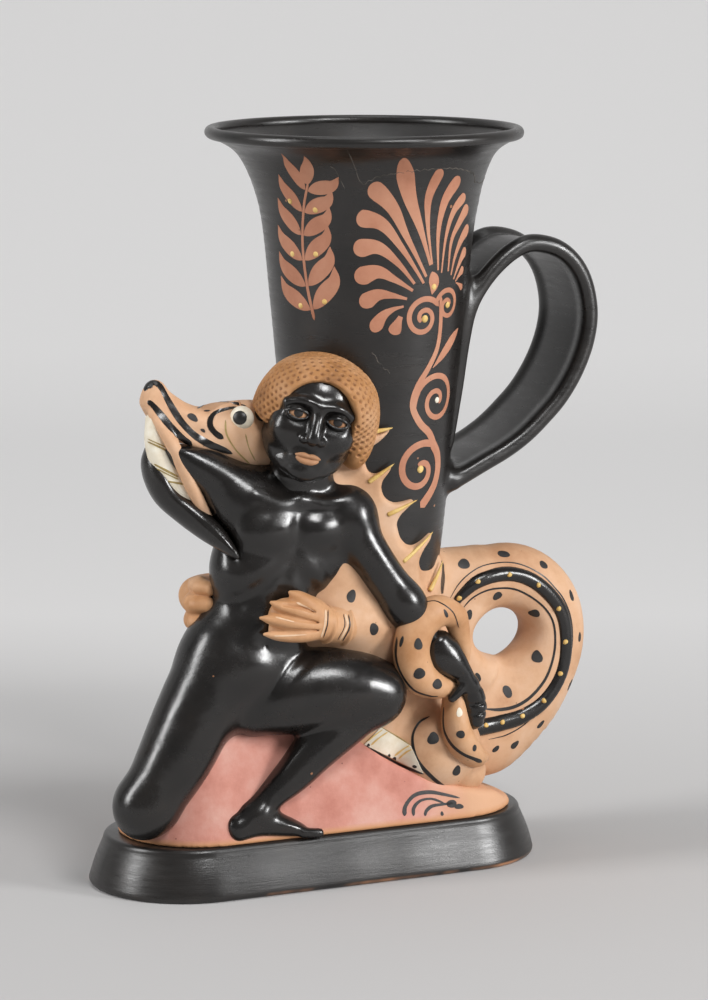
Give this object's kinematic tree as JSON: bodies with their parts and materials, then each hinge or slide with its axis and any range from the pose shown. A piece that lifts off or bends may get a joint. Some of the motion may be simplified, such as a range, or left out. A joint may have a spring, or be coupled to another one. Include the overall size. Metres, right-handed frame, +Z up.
{
  "type": "horn-shaped rhyton",
  "caption": "Ceramic horn-shaped drinking vessel: flaring black-gloss beaker with a strap handle, rising from a modelled group of a spotted crocodile and a kneeling figure on an oblong plinth.",
  "frame": {"origin": "middle of the plinth's flat underside", "axes": "+Z up along the beaker's axis, which stands to the right of the origin; -Y towards the front, where the figure and the crocodile's jaws are; +X towards the handle and the tail"},
  "size_m": [0.1706, 0.101, 0.2347],
  "materials": {
    "black_gloss": "black slip fired to a gloss",
    "tan_clay": "bare fired clay, smoothed",
    "pink_clay": "matte pink wash on clay",
    "hair_clay": "bare clay with a brown wash, pricked all over",
    "white_slip": "matte white slip",
    "yellow_slip": "matte yellow slip"
  },
  "bodies": {
    "root": {"plinth": "black_gloss", "ground_mound": "pink_clay", "beaker": "black_gloss", "crocodile_body": "tan_clay", "handle_strap": "black_gloss", "crocodile_skull": "tan_clay", "crocodile_upper_jaw": "tan_clay", "crocodile_lower_jaw": "black_gloss", "tail_coil": "tan_clay", "figure_torso": "black_gloss", "figure_head": "black_gloss", "figure_hair": "hair_clay", "figure_raised_arm": "black_gloss", "figure_kneeling_thigh": "black_gloss", "figure_kneeling_shin": "black_gloss", "figure_kneeling_foot": "black_gloss", "figure_bent_thigh": "black_gloss", "figure_bent_shin": "black_gloss", "figure_bent_foot": "black_gloss", "tail_loop": "tan_clay", "figure_lowered_arm": "black_gloss", "crocodile_tooth_row": "white_slip", "crocodile_eye_near": "white_slip", "crocodile_eye_far": "white_slip", "crocodile_near_paw": "tan_clay", "crocodile_far_paw": "tan_clay", "crocodile_hind_thigh": "tan_clay", "crocodile_hind_foot": "tan_clay", "figure_grip_hand": "black_gloss", "tail_tip": "tan_clay", "tail_ridge": "black_gloss", "dorsal_spike_1": "yellow_slip", "dorsal_spike_2": "yellow_slip", "dorsal_spike_3": "yellow_slip", "dorsal_spike_4": "yellow_slip", "dorsal_spike_5": "yellow_slip"}
  },
  "joints": []
}
